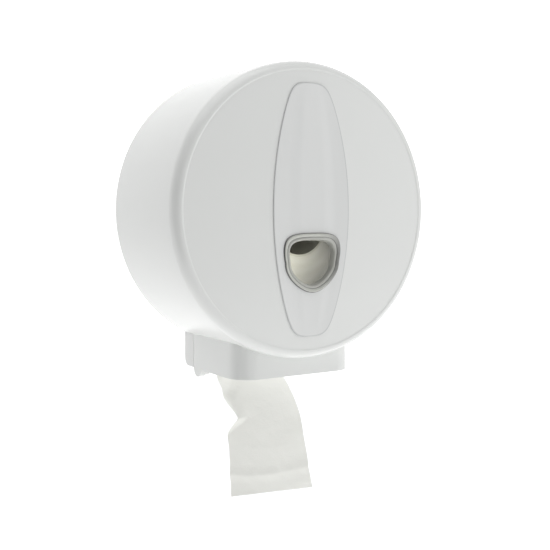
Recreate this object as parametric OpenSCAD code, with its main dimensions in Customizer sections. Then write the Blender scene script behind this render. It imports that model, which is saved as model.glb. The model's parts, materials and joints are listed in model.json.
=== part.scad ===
// Wall-mounted drum dispenser for one jumbo toilet roll.
// The origin lies on the wall plane, on the drum's axis. +Z is up and the front faces -Y.
// Depths called "out" are measured from the wall, along -Y.

/* [Drum cover] */
// Outside diameter of the drum
drum_d = 310; // [296:1:330]
// Depth from the wall to the rim of the front face
depth = 146; // [142:1:156]
// Wall of the moulded cover
cover_t = 2.6; // [2:0.1:3.2]
// Gap between the cover's rear edge and the wall
wall_gap = 2; // [1:0.5:4]
// Width of the rounded shoulder, in from the side wall
shoulder_w = 9; // [6:0.5:12]
// Length of the rounded shoulder along the drum
shoulder_l = 13; // [9:0.5:16]
// Depth of the valley where the shoulder meets the face
valley_d = 0.7; // [0.2:0.1:1.2]
// Rise of the domed face in front of its rim
dome_h = 4; // [2:0.5:7]

/* [Centre panel] */
// Width of the oval panel
panel_w = 93; // [86:1:100]
// Height of the oval panel
panel_h = 263; // [250:1:272]
// Height of the panel's edge above the face
panel_edge = 2; // [1.2:0.1:3]
// Height of the panel's middle ridge above its edge
panel_bulge = 3; // [2:0.5:6]
// Wall of the panel
panel_t = 2.2; // [1.8:0.1:3]
// Width of the seat that the panel's border lies on
panel_seat = 8; // [6:0.5:10]
// Radius of the pegs on the back of the panel
peg_r = 2; // [1.5:0.1:2.5]
// Diameter of the spring clips on the pegs
clip_d = 10; // [8:0.5:12]

/* [Window] */
// Width of the window frame
window_w = 70; // [64:1:74]
// Height of the window frame
window_h = 62; // [56:1:68]
// Distance of the window's middle below the drum's axis
window_drop = 55; // [50:1:60]
// Width of the window frame's border
window_rim = 7.5; // [6:0.5:9]
// Height of the window frame above the panel
window_lip = 1.6; // [0.8:0.1:2.4]
// Depth of the pane behind the rim of the front face
pane_back = 1.5; // [0.5:0.5:4]
// Thickness of the pane
pane_t = 1.8; // [1.4:0.1:2.4]

/* [Paper outlet] */
// Width of the outlet collar
collar_w = 144; // [136:1:150]
// Distance of the collar's lower edge below the drum's axis
collar_drop = 175; // [171:1:182]
// Distance of the collar's front behind the rim of the front face
collar_setback = 22; // [18:1:28]
// Radius of the collar's front corners
collar_r = 24; // [16:1:32]
// Depth of the fixed rear part of the collar
rear_collar_l = 21; // [18:0.5:23]
// Width of the tear bar
tear_w = 88; // [70:1:92]
// Height of the tear bar
tear_h = 13; // [11:0.5:18]
// Height of the teeth's tips above the collar's lower edge
tooth_up = 0.4; // [0:0.1:2]
// Pitch of the tear bar's teeth
tooth_pitch = 4; // [3:0.5:6]
// Thickness of the tear bar
tear_t = 1; // [0.8:0.1:1.5]

/* [Hinge] */
// Height of the hinge axis above the collar's lower edge
hinge_up = 1; // [0:0.5:4]
// Distance of the hinge axis out from the wall
hinge_out = 31; // [30.5:0.5:36]
// Radius of the hinge knuckles
knuckle_r = 9.2; // [8:0.1:9.4]
// Length of each knuckle on the cover
knuckle_l = 6; // [5:0.5:8]
// Length of each ear on the back plate
ear_l = 5; // [4:0.5:7]
// Radius of the hinge pins
pin_r = 3; // [2.5:0.1:4]

/* [Back plate] */
// Thickness of the back plate
plate_t = 3; // [2.5:0.1:4]
// Radial gap between the plate's rim and the cover
plate_clear = 5.6; // [5:0.1:8]
// Depth of the plate's rim
rim_l = 10; // [7:0.5:11]
// Height of the ribs on the plate
rib_h = 7; // [4:0.5:10]
// Distance between the wall screw holes across
screw_span_x = 150; // [120:1:170]
// Distance between the wall screw holes up
screw_span_z = 120; // [100:1:140]
// Radius of the wall screw holes
screw_hole_r = 2.75; // [2:0.05:3.5]
// Height of the bosses round the wall screw holes
boss_h = 8; // [5:0.5:12]

/* [Spindle] */
// Radius of the roll spindle
spindle_r = 12; // [10:0.5:14]
// Wall of the spindle
spindle_t = 2.5; // [2:0.1:3]
// Radius of the retaining cap
cap_r = 27; // [24:0.5:28]
// Thickness of the retaining cap
cap_t = 3; // [2:0.5:4]

/* [Roll] */
// Width of the paper roll
roll_w = 95; // [90:1:98]
// Outside diameter of the paper roll
roll_d = 240; // [200:1:250]
// Bore of the cardboard core
core_d = 60; // [57:1:64]
// Wall of the cardboard core
core_t = 2; // [1.5:0.5:4]
// Distance of the roll's rear face out from the wall
roll_out = 31; // [29:0.5:33]
// Thickness of the hanging paper
paper_t = 0.8; // [0.6:0.1:1.2]

/* [Lock] */
// Distance of the lock's axis out from the wall
lock_out = 28; // [26:0.5:34]
// Radius of the turning plug
plug_r = 6; // [5:0.1:7]
// Radius of the lock's housing
barrel_r = 8; // [7.5:0.1:9]
// Length of the lock's housing
barrel_l = 20; // [16:0.5:24]
// Length of the lock's tongue from its axis
cam_l = 16; // [14:0.5:17]
// Thickness of the lock's tongue
cam_t = 2.5; // [2:0.5:3]

/* [Hidden] */

$fn = 96;
fit_clear = 0.3;
run_clear = 0.05;
side_clear = 0.6;
// How far a cut runs past the face that it opens
over = 1;
// Sizes that more than one piece uses
spindle_flange_t = 3;
lock_flange_t = 1.5;
lock_flange_w = 3;
rib_t = 2;

drum_r = drum_d / 2;
face_r = drum_r - shoulder_w;
rear_r = drum_r - cover_t;
plate_r = rear_r - plate_clear;
panel_a = panel_w / 2;
panel_b = panel_h / 2;
collar_x = collar_w / 2;
collar_front = depth - collar_setback;
hinge_z = hinge_up - collar_drop;
knuckle_x = collar_x - knuckle_l;
ear_x = knuckle_x - side_clear - ear_l;
ear_r = knuckle_r - 1.2;
roll_z = spindle_r + fit_clear - core_d / 2;
roll_r = roll_d / 2;
hub_out = roll_out - fit_clear - spindle_flange_t;
ring_r = norm([screw_span_x, screw_span_z]) / 2;
outlet_top = 8 - sqrt(pow(plate_r, 2) - pow(collar_x, 2));
pane_out = depth - pane_back;
face_cut = 20;
lock_top = sqrt(pow(drum_r, 2) - pow(barrel_r + lock_flange_w, 2)) - fit_clear;
cam_z = lock_top - barrel_l - fit_clear - cam_t;

// Turns a shape drawn in the front view, with +Z out from the wall, into the part's frame.
module from_wall(out = 0) {
    rotate([90, 0, 0])
        translate([0, 0, out])
            children();
}

// ---- Shared outlines ----

// Distance of the domed face from the wall, at radius r from the axis.
function face_out(r) = depth - valley_d + dome_h * (1 - pow(r / face_r, 2));

shoulder_steps = 8;
dome_steps = 7;

// Half of the cover's outer outline: radius and distance out, from the rear edge to the middle.
function cover_outline() = concat(
    [[drum_r, wall_gap], [drum_r, depth - shoulder_l]],
    [for (i = [1:shoulder_steps])
        let (a = 90 * i / shoulder_steps)
        [face_r + shoulder_w * cos(a), depth - shoulder_l + shoulder_l * sin(a)]],
    [[face_r - 1.5, face_out(face_r - 1.5)]],
    [for (i = [1:dome_steps])
        let (r = (face_r - 1.5) * (1 - i / dome_steps))
        [r, face_out(r)]]);

// The same outline, one wall further in.
function cavity_outline() = concat(
    [[rear_r, -1], [rear_r, depth - shoulder_l]],
    [for (i = [1:shoulder_steps])
        let (a = 90 * i / shoulder_steps)
        [face_r + (shoulder_w - cover_t) * cos(a),
         depth - shoulder_l + (shoulder_l - cover_t - valley_d) * sin(a)]],
    [for (i = [0:dome_steps])
        let (r = (face_r - 1.5) * (1 - i / dome_steps))
        [r, face_out(r) - cover_t]],
    [[0, -1]]);

// Point at angle a on the centre panel's oval, which has blunter tips than an ellipse.
function blunt(v, up) = sign(v) * pow(abs(v), 1 - 0.4 * pow(up, 4));
function oval_point(a, inset) =
    [(panel_a - inset) * blunt(cos(a), sin(a)), (panel_b - inset) * sin(a)];

module oval(inset = 0) {
    polygon([for (a = [0:4:356]) oval_point(a, inset)]);
}

// Point at angle a on the window's drop-shaped outline, made smaller all round by inset.
// Its upper corners are squarer than its lower end.
function soft(v, power) = sign(v) * pow(abs(v), power);
function drop_point(a, inset) =
    let (power = a < 180 ? 0.6 : 0.74, up = soft(sin(a), power))
    [(window_w / 2 - inset) * soft(cos(a), power) * (0.95 + 0.2 * (up - pow(up, 2) + pow(up, 3))),
     (window_h / 2 - inset) * up - window_drop];

module drop_shape(inset = 0) {
    polygon([for (a = [0:6:354]) drop_point(a, inset)]);
}

// Height of the panel's front above the wall at x, z: edge step, flanks and middle ridge.
function ridge(t) = t < 0.28 ? 1 : t > 0.64 ? 0 : let (s = (0.64 - t) / 0.36) s * s * (3 - 2 * s);
function panel_out(x, z) =
    let (up = min(1, abs(z) / panel_b), v = sqrt(1 - up * up),
         t = min(1, abs(x) / max(panel_a * blunt(v, up), 0.001)))
    face_out(norm([x, z])) + panel_edge + panel_bulge * pow(v, 1.2)
        * (0.4 * (1 - t * t) + 0.6 * ridge(t) * (1 - 0.15 * t * t));

// Plan of the collar's moving part, seen from below, made smaller all round by inset.
module collar_plan(inset = 0) {
    x = collar_x - inset;
    r = collar_r - inset;
    front = collar_front - inset;
    translate([-x, -front + r])
        square([2 * x, front - r - rear_collar_l / 2]);
    translate([-x + r, -front])
        square([2 * (x - r), r + over]);
    for (side = [-1, 1])
        translate([side * (x - r), -front + r])
            circle(r);
}

// ---- Back plate ----

module wall_screw_places() {
    for (x = [-1, 1], z = [-1, 1])
        translate([x * screw_span_x / 2, z * screw_span_z / 2, 0])
            children();
}

spindle_screw_ring = 28;
module spindle_screw_places() {
    for (a = [45:90:315])
        rotate(a)
            translate([spindle_screw_ring, 0, 0])
                children();
}

hub_r = 36;
rib_step = 30;
boss_wall = 6.25;
rear_collar_z = 1;

module hinge_ear(side) {
    translate([side > 0 ? ear_x : -ear_x - ear_l, 0, 0])
        rotate([90, 0, 90])
            linear_extrude(ear_l)
                difference() {
                    union() {
                        translate([-hinge_out, hinge_z])
                            circle(ear_r);
                        translate([-hinge_out, rear_collar_z - collar_drop + over])
                            square([hinge_out, 2 * ear_r]);
                    }
                    translate([-hinge_out, hinge_z])
                        circle(pin_r);
                }
}

// Side of the fixed rear collar, with its rounded lower corner.
rear_corner_r = 9;
module rear_collar_side(side) {
    top = -sqrt(pow(rear_r - fit_clear, 2) - pow(collar_x, 2));
    bottom = rear_collar_z - collar_drop;
    translate([side > 0 ? collar_x - cover_t : -collar_x, 0, 0])
        rotate([90, 0, 90])
            linear_extrude(cover_t) {
                translate([-rear_collar_l, bottom + rear_corner_r])
                    square([rear_collar_l, top - bottom - rear_corner_r]);
                translate([-rear_collar_l, bottom])
                    square([rear_collar_l - rear_corner_r, rear_corner_r + over]);
                translate([-rear_corner_r, bottom + rear_corner_r])
                    circle(rear_corner_r);
            }
}

module back_plate() {
    lower = collar_drop - rear_collar_z - rear_corner_r;
    color("whitesmoke")
    difference() {
        union() {
            from_wall() {
                linear_extrude(plate_t) {
                    circle(plate_r);
                    translate([-collar_x, -lower])
                        square([2 * collar_x, lower + outlet_top]);
                }
                // Rim round the edge, left open above the outlet
                difference() {
                    cylinder(h = rim_l, r = plate_r);
                    translate([0, 0, -over])
                        cylinder(h = rim_l + 2 * over, r = plate_r - rib_t);
                    translate([-collar_x, -plate_r - over, -over])
                        cube([2 * collar_x, plate_r + over + outlet_top, rim_l + 2 * over]);
                }
                // Hub that carries the spindle
                cylinder(h = hub_out, r = hub_r);
                // Stiffening ribs: those straight up and down stop at the ring
                for (a = [0:rib_step:360 - rib_step])
                    rotate(a)
                        translate([hub_r - over, -rib_t / 2, 0])
                            cube([(a % 180 == 90 ? ring_r : plate_r) - hub_r, rib_t, rib_h]);
                // Ring rib through the bosses of the wall screws
                difference() {
                    cylinder(h = rib_h, r = ring_r + rib_t / 2);
                    translate([0, 0, -over])
                        cylinder(h = rib_h + 2 * over, r = ring_r - rib_t / 2);
                }
                wall_screw_places()
                    cylinder(h = boss_h, r = screw_hole_r + boss_wall);
            }
            for (side = [-1, 1]) {
                rear_collar_side(side);
                hinge_ear(side);
            }
        }
        from_wall(-over) {
            // The hub is hollow towards the wall
            cylinder(h = over + hub_out - plate_t, r = hub_r - plate_t);
            wall_screw_places()
                cylinder(h = boss_h + 2 * over, r = screw_hole_r);
            spindle_screw_places()
                cylinder(h = roll_out + 2 * over, r = spindle_screw_r);
            keeper_screw_places()
                cylinder(h = plate_t + 2 * over, r = keeper_screw_r);
        }
    }
}

// ---- Spindle ----

spindle_end_t = 4;
spindle_screw_r = 1.9;
spindle_screw_l = 7;
spindle_head_r = 3.5;
spindle_head_h = 1.4;
cap_stub_r = 2.4;
cap_stub_l = 7;
cap_bevel = 1.5;

module spindle() {
    length = spindle_flange_t + roll_w + 2 * fit_clear;
    color("gainsboro")
    from_wall(hub_out)
        difference() {
            union() {
                cylinder(h = spindle_flange_t, r = hub_r);
                cylinder(h = length, r = spindle_r);
            }
            // Hollow from the rear, with a closed front end
            translate([0, 0, -over])
                cylinder(h = length + over - spindle_end_t, r = spindle_r - spindle_t);
            spindle_screw_places() {
                translate([0, 0, -over])
                    cylinder(h = spindle_flange_t + 2 * over, r = spindle_screw_r);
                translate([0, 0, spindle_flange_t - spindle_head_h])
                    cylinder(h = 2 * spindle_head_h, r = spindle_head_r + fit_clear);
            }
            translate([0, 0, length - spindle_end_t - over])
                cylinder(h = spindle_end_t + 2 * over, r = cap_stub_r);
        }
}

module spindle_cap() {
    color("gainsboro")
    from_wall(roll_out + roll_w + fit_clear)
        union() {
            rotate_extrude()
                polygon([[0, 0], [cap_r, 0], [cap_r, cap_t - cap_bevel], [cap_r - cap_bevel, cap_t],
                    [0, cap_t]]);
            translate([0, 0, -cap_stub_l])
                cylinder(h = cap_stub_l + cap_t / 2, r = cap_stub_r);
        }
}

// Pan-head screw that points back towards the wall: its head's seat lies at the origin.
module screw(shank_r, shank_l, head_r, head_h) {
    slot_l = 1.2 * head_r;
    slot_w = head_r / 4;
    translate([0, 0, -shank_l])
        cylinder(h = shank_l, r = shank_r);
    difference() {
        rotate_extrude()
            polygon([[0, 0], [head_r, 0], [head_r, head_h / 2], [0.8 * head_r, head_h], [0, head_h]]);
        for (a = [0, 90])
            rotate(a)
                translate([-slot_l / 2, -slot_w / 2, head_h / 2])
                    cube([slot_l, slot_w, head_h]);
    }
}

module spindle_screws() {
    color("silver")
    from_wall(roll_out - fit_clear)
        spindle_screw_places()
            translate([0, 0, -spindle_head_h])
                screw(spindle_screw_r, spindle_screw_l, spindle_head_r, spindle_head_h);
}

// ---- Hinge ----

pin_head_t = 1.5;
knuckle_end_t = 1.3;
knuckle_arm = 14;
knuckle_web = 4;

module hinge_pins() {
    color("silver")
    for (side = [-1, 1])
        translate([side * ear_x, -hinge_out, hinge_z])
            rotate([0, side * 90, 0]) {
                cylinder(h = ear_l + side_clear + knuckle_l - knuckle_end_t - fit_clear, r = pin_r);
                translate([0, 0, -pin_head_t])
                    cylinder(h = pin_head_t, r = pin_r + pin_head_t);
            }
}

// ---- Lock keeper ----

keeper_screw_r = 1.6;
keeper_screw_gap = 6;
keeper_head_r = 2.8;
keeper_head_h = 1.8;
keeper_x = cam_l + 4;
keeper_t = 2;
keeper_h = 12;
keeper_foot = 12;
cam_half_w = 4;
lip_out = lock_out + cam_half_w + 2;
lip_x = 2 * cam_half_w;

module keeper_screw_places() {
    for (side = [-1, 1])
        translate([keeper_x + keeper_t + keeper_foot / 2,
                   cam_z + (cam_t + side * keeper_screw_gap) / 2, 0])
            children();
}

module lock_keeper() {
    color("silver")
    difference() {
        translate([0, 0, cam_z + cam_t / 2 - keeper_h / 2])
            linear_extrude(keeper_h) {
                translate([keeper_x, -plate_t - keeper_t])
                    square([keeper_foot, keeper_t]);
                translate([keeper_x, -lip_out - keeper_t])
                    square([keeper_t, lip_out + keeper_t - plate_t]);
                translate([lip_x, -lip_out - keeper_t])
                    square([keeper_x + keeper_t - lip_x, keeper_t]);
            }
        from_wall()
            keeper_screw_places()
                cylinder(h = plate_t + keeper_t + over, r = keeper_screw_r);
    }
}

module keeper_screws() {
    color("silver")
    from_wall(plate_t + keeper_t)
        keeper_screw_places()
            screw(keeper_screw_r, plate_t + keeper_t - fit_clear, keeper_head_r, keeper_head_h);
}

// ---- Cover ----

cover_rib_h = 3;
lock_seat_t = 5;
lock_boss_w = 5;
peg_l = 6;
peg_angles = [18, 60, 90, 120, 162, 198, 240, 270, 300, 342];
module peg_places() {
    for (a = peg_angles)
        translate(concat(oval_point(a, panel_seat / 2), 0))
            children();
}

module knuckle(side) {
    translate([side > 0 ? knuckle_x : -collar_x, 0, 0])
        rotate([90, 0, 90])
            linear_extrude(knuckle_l)
                translate([-hinge_out, hinge_z]) {
                    circle(knuckle_r);
                    translate([-knuckle_r - knuckle_web, 0])
                        square([2 * knuckle_r + knuckle_web, knuckle_arm]);
                }
}

module cover_shell() {
    color("white")
    difference() {
        union() {
            difference() {
                union() {
                    from_wall()
                        rotate_extrude($fn = 180)
                            polygon(concat(cover_outline(), [[0, wall_gap]]));
                    translate([0, 0, -collar_drop])
                        linear_extrude(collar_drop + outlet_top)
                            collar_plan();
                }
                from_wall()
                    rotate_extrude($fn = 180)
                        polygon(cavity_outline());
                translate([0, 0, -collar_drop - over])
                    linear_extrude(collar_drop + outlet_top)
                        collar_plan(cover_t);
                // Room for the fixed rear part of the collar
                translate([-collar_x - fit_clear, -rear_collar_l - side_clear, -collar_drop - over])
                    cube([2 * (collar_x + fit_clear), rear_collar_l + over,
                          collar_drop + over + outlet_top]);
            }
            for (side = [-1, 1])
                knuckle(side);
            // Boss that holds the lock
            translate([0, -lock_out, lock_top - lock_seat_t])
                cylinder(h = lock_seat_t - lock_flange_t, r = barrel_r + lock_boss_w);
            // Stiffening ribs inside the top of the drum
            for (a = [-60, -30, 30, 60])
                rotate([0, a, 0])
                    translate([-rib_t / 2, shoulder_l - depth, rear_r - cover_rib_h])
                        cube([rib_t, depth - shoulder_l - rim_l - 4, cover_rib_h + cover_t / 4]);
        }
        // Opening behind the centre panel
        from_wall(depth - face_cut) {
            linear_extrude(2 * face_cut)
                oval(panel_seat);
            peg_places()
                cylinder(h = 2 * face_cut, r = peg_r + run_clear);
        }
        // Seat and hole of the lock
        translate([0, -lock_out, lock_top - lock_flange_t])
            cylinder(h = lock_seat_t, r = barrel_r + lock_flange_w + run_clear);
        translate([0, -lock_out, lock_top - 2 * lock_seat_t])
            cylinder(h = 2 * lock_seat_t, r = barrel_r + run_clear);
        // Blind bores of the hinge
        for (side = [-1, 1])
            translate([side * (knuckle_x - over), -hinge_out, hinge_z])
                rotate([0, side * 90, 0])
                    cylinder(h = knuckle_l + over - knuckle_end_t, r = pin_r + run_clear);
        from_wall(collar_front - cover_t - over)
            rivet_places()
                cylinder(h = cover_t + over - rivet_skin, r = rivet_r);
    }
}

// ---- Centre panel: a thin shell whose front follows panel_out ----

frame_lap = 3;
edge_round = 0.6;
panel_rings = 11;
panel_step = 7.5;
panel_angles = [0:panel_step:360 - panel_step];
panel_count = 360 / panel_step;

// One ray of the shell, from the foot of its edge over the front to the middle, and back behind.
function panel_ray(a) =
    let (rim = oval_point(a, 0), top = oval_point(a, edge_round),
         seat = oval_point(a, panel_seat + edge_round),
         foot = face_out(norm(rim)) + fit_clear / 2)
    concat(
        [concat(rim, foot), concat(rim, foot + panel_edge - edge_round),
         concat(top, panel_out(top[0], top[1]))],
        [for (k = [1:panel_rings - 1])
            let (p = rim * 0.97 * (1 - k / panel_rings))
            concat(p, panel_out(p[0], p[1]))],
        [for (k = [1:panel_rings - 1])
            let (p = seat * 0.99 * k / panel_rings)
            concat(p, panel_out(p[0], p[1]) - panel_t)],
        [concat(seat, face_out(norm(seat)) + fit_clear / 2)]);

module centre_panel() {
    rays = [for (a = panel_angles) panel_ray(a)];
    m = len(rays[0]);
    half = panel_rings + 2;
    points = concat([for (ray = rays, p = ray) p],
        [[0, 0, panel_out(0, 0)], [0, 0, panel_out(0, 0) - panel_t]]);
    front_tip = panel_count * m;
    back_tip = front_tip + 1;
    faces = concat(
        [for (j = [0:panel_count - 1], i = [0:m - 1])
            let (n = (j + 1) % panel_count, k = (i + 1) % m)
            if (i != half - 1)
                each [[j * m + i, n * m + k, n * m + i], [j * m + i, j * m + k, n * m + k]]],
        [for (j = [0:panel_count - 1])
            let (n = (j + 1) % panel_count)
            each [[j * m + half - 1, front_tip, n * m + half - 1],
                  [j * m + half, n * m + half, back_tip]]]);
    color("whitesmoke")
    from_wall()
        difference() {
            union() {
                polyhedron(points, faces);
                for (a = peg_angles)
                    let (p = oval_point(a, panel_seat / 2))
                    translate(concat(p, face_out(norm(p)) - peg_l))
                        cylinder(h = peg_l + fit_clear + panel_edge / 2, r = peg_r);
            }
            translate([0, 0, depth - face_cut])
                linear_extrude(2 * face_cut)
                    drop_shape(window_rim - frame_lap);
        }
}

clip_t = 0.6;
clip_gap = 0.2;
module panel_clips() {
    color("silver")
    from_wall()
        for (a = peg_angles)
            let (p = oval_point(a, panel_seat / 2))
            translate(concat(p, face_out(norm(p) + clip_d / 2) - cover_t - clip_t - clip_gap))
                difference() {
                    cylinder(h = clip_t, r = clip_d / 2, $fn = 48);
                    translate([0, 0, -over])
                        cylinder(h = clip_t + 2 * over, r = peg_r, $fn = 48);
                }
}

// ---- Window ----

frame_step = 6;
frame_count = 360 / frame_step;

// Section of the frame at angle a: over the border, down the recess and back outside.
function frame_section(a) =
    [for (q = [[0, 0.15], [0.25, 0.8], [1.2, 1.0], [window_rim * 0.5, 1.15], [window_rim - 1.2, 1.0],
               [window_rim - 0.2, 0.5]])
        let (p = drop_point(a, q[0]))
        [p[0], p[1], panel_out(p[0], p[1]) + window_lip * q[1]]];

function frame_ring(a) =
    let (low = drop_point(a, window_rim + 1.4), neck = drop_point(a, window_rim - 2.6),
         under = drop_point(a, 0.4))
    concat(frame_section(a),
        [[low[0], low[1], pane_out],
         [neck[0], neck[1], pane_out],
         [neck[0], neck[1], panel_out(neck[0], neck[1]) + 0.15],
         [under[0], under[1], panel_out(under[0], under[1]) + 0.15]]);

module window_frame() {
    rings = [for (a = [0:frame_step:360 - frame_step]) frame_ring(a)];
    m = len(rings[0]);
    color([0.45, 0.45, 0.44])
    from_wall()
        polyhedron([for (ring = rings, p = ring) p],
            [for (j = [0:frame_count - 1], i = [0:m - 1])
                let (n = (j + 1) % frame_count, k = (i + 1) % m)
                each [[j * m + i, n * m + k, n * m + i], [j * m + i, j * m + k, n * m + k]]]);
}

module window_pane() {
    color([0.3, 0.3, 0.28, 0.5])
    from_wall(pane_out - pane_t)
        linear_extrude(pane_t)
            drop_shape(window_rim - 2.6);
}

// ---- Tear bar ----

tooth_h = 2.3;
rivet_r = 1.5;
rivet_head_r = 3;
rivet_head_h = 1;
rivet_skin = 0.8;
rivet_inset = 12;
module rivet_places() {
    for (side = [-1, 0, 1])
        translate([side * (tear_w / 2 - rivet_inset), tooth_up + tear_h - 4 - collar_drop, 0])
            children();
}

module tear_bar() {
    teeth = floor(tear_w / tooth_pitch);
    tip = tooth_up - collar_drop;
    top = tip + tear_h;
    color("silver")
    from_wall(collar_front - cover_t - tear_t)
        difference() {
            linear_extrude(tear_t)
                polygon(concat(
                    [[-tear_w / 2, top], [-tear_w / 2, tip + tooth_h]],
                    [for (i = [0:teeth - 1], t = [0.5, 1])
                        [((i + t) / teeth - 0.5) * tear_w, t == 1 ? tip + tooth_h : tip]],
                    [[tear_w / 2, top]]));
            rivet_places()
                translate([0, 0, -over])
                    cylinder(h = tear_t + 2 * over, r = rivet_r);
        }
}

module tear_bar_rivets() {
    color("silver")
    from_wall(collar_front - cover_t - tear_t)
        rivet_places() {
            cylinder(h = tear_t + cover_t - rivet_skin, r = rivet_r);
            mirror([0, 0, 1])
                cylinder(h = rivet_head_h, r1 = rivet_head_r, r2 = rivet_head_r - rivet_head_h);
        }
}

// ---- Lock ----

nut_t = 4;
nut_w = 4;
cam_square = 6;
cam_screw_r = 1.5;
cam_screw_l = 6;
cam_head_r = 5;
cam_head_h = 2;
key_w = 7;
key_t = 1.6;
key_depth = 12;

module lock_barrel() {
    color("silver")
    translate([0, -lock_out, lock_top])
        difference() {
            union() {
                translate([0, 0, -lock_flange_t])
                    cylinder(h = lock_flange_t, r = barrel_r + lock_flange_w);
                translate([0, 0, -barrel_l])
                    cylinder(h = barrel_l, r = barrel_r);
            }
            translate([0, 0, -barrel_l - over])
                cylinder(h = barrel_l + 2 * over, r = plug_r + run_clear);
        }
}

module lock_nut() {
    color("silver")
    translate([0, -lock_out, lock_top - lock_seat_t - nut_t])
        difference() {
            cylinder(h = nut_t, r = barrel_r + nut_w, $fn = 6);
            translate([0, 0, -over])
                cylinder(h = nut_t + 2 * over, r = barrel_r);
        }
}

module lock_plug() {
    color("dimgray")
    translate([0, -lock_out, lock_top])
        difference() {
            union() {
                translate([0, 0, -barrel_l - fit_clear])
                    cylinder(h = barrel_l, r = plug_r);
                translate([-cam_square / 2, -cam_square / 2, cam_z - lock_top])
                    cube([cam_square, cam_square, cam_t + over]);
            }
            // Keyway
            translate([-key_w / 2, -key_t / 2, -key_depth])
                cube([key_w, key_t, key_depth]);
            translate([0, 0, cam_z - lock_top])
                cylinder(h = cam_screw_l, r = cam_screw_r);
        }
}

// Tongue, drawn unlocked: it points to the wall.
module lock_cam() {
    color("silver")
    translate([0, -lock_out, cam_z])
        linear_extrude(cam_t)
            difference() {
                union() {
                    circle(plug_r);
                    translate([-cam_half_w, 0])
                        square([2 * cam_half_w, cam_l - cam_half_w]);
                    translate([0, cam_l - cam_half_w])
                        circle(cam_half_w);
                }
                square(cam_square, center = true);
            }
}

module cam_screw() {
    color("silver")
    translate([0, -lock_out, cam_z])
        mirror([0, 0, 1])
            screw(cam_screw_r, cam_screw_l, cam_head_r, cam_head_h);
}

// ---- Roll ----

module roll_core() {
    color("burlywood")
    from_wall(roll_out)
        translate([0, roll_z, 0])
            difference() {
                cylinder(h = roll_w, r = core_d / 2 + core_t);
                translate([0, 0, -over])
                    cylinder(h = roll_w + 2 * over, r = core_d / 2);
            }
}

module paper_roll() {
    color("ivory")
    from_wall(roll_out)
        translate([0, roll_z, 0])
            difference() {
                cylinder(h = roll_w, r = roll_r, $fn = 180);
                translate([0, 0, -over])
                    cylinder(h = roll_w + 2 * over, r = core_d / 2 + core_t);
            }
}

// ---- Hanging paper ----

// The sheet leaves the roll on its left, bends through the outlet and hangs free.
// Each edge is a smooth curve through its places: x, y and the height above the collar's edge.
tail_rear_a = -146;
tail_front_a = -137;
tail_gap = 0.8;
leave_r = roll_r + tail_gap;
function leave(a, y) = [leave_r * cos(a), y, roll_z + leave_r * sin(a)];
function below(x, y, up) = [x, y, up - collar_drop];
rear_y = -roll_out - fit_clear;
front_y = -roll_out - roll_w + fit_clear;
rear_places = [leave(tail_rear_a, rear_y), below(-71, rear_y, 48), below(-53, rear_y - 1.7, 3),
    below(-42, rear_y - 4.2, -45), below(-37.5, rear_y - 8.7, -93), below(-38, rear_y - 13.7, -142)];
front_places = [leave(tail_front_a, front_y), below(-52, front_y + 4.1, 38.5),
    below(-17.5, front_y + 6.5, 1.5), below(3.5, front_y + 7.2, -38), below(13, front_y + 7.7, -80),
    below(21.5, front_y + 7.7, -123)];

// Smooth curve through the places p, at s from 0 to 1
function curve(p, s) =
    let (m = len(p) - 1, k = min(m - 1, floor(s * m)), f = s * m - k,
         a = p[max(0, k - 1)], b = p[k], c = p[k + 1], d = p[min(m, k + 2)])
    b + f / 2 * (c - a + f * (2 * a - 5 * b + 4 * c - d + f * (3 * b - a - 3 * c + d)));
function tail_across(s) = curve(front_places, s) - curve(rear_places, s);
function tail_mid(s) = (curve(front_places, s) + curve(rear_places, s)) / 2;
function tail_normal(s) =
    let (n = cross(tail_across(s), tail_mid(min(1, s + 0.02)) - tail_mid(max(0, s - 0.02))))
    n / norm(n);

// Main folds: a pleat that runs up from a notch in the rear edge, a belly across the sheet,
// and a crease above the free edge
notch_s = 0.64;
notch_slope = 0.3;
pleat_s = 0.085;
pleat_reach = 0.5;
pleat_gap = 0.13;
pleat_pull = 9;
pleat_in = 11;
pleat_out = 5;
belly = 4;
belly_s = 0.68;
belly_half = 0.32;
crease_s = 0.89;
crease_half = 0.04;
crease_h = 1.2;
tail_rows = 34;
tail_cols = 14;
function bump(d, w) = max(0, 1 - abs(d) / w);
function ease(v) = v * v * (3 - 2 * v);
function tail_fold(s, t) =
    let (notch = notch_s - notch_slope * t, fade = pow(max(0, 1 - t / pleat_reach), 1.5))
    fade * (pleat_in * ease(bump(s - notch, pleat_s))
        - pleat_out * ease(bump(s - notch + pleat_gap, pleat_gap)))
    - belly * sin(180 * t) * ease(bump(s - belly_s, belly_half))
    - crease_h * ease(bump(s - crease_s, crease_half));
function tail_point(s, t) =
    let (c = tail_across(s), pull = pleat_pull * pow(bump(s - notch_s, pleat_s), 1.3) * pow(1 - t, 2))
    curve(rear_places, s) + c * (t + pull / norm(c)) + tail_normal(s) * tail_fold(s, t);

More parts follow.
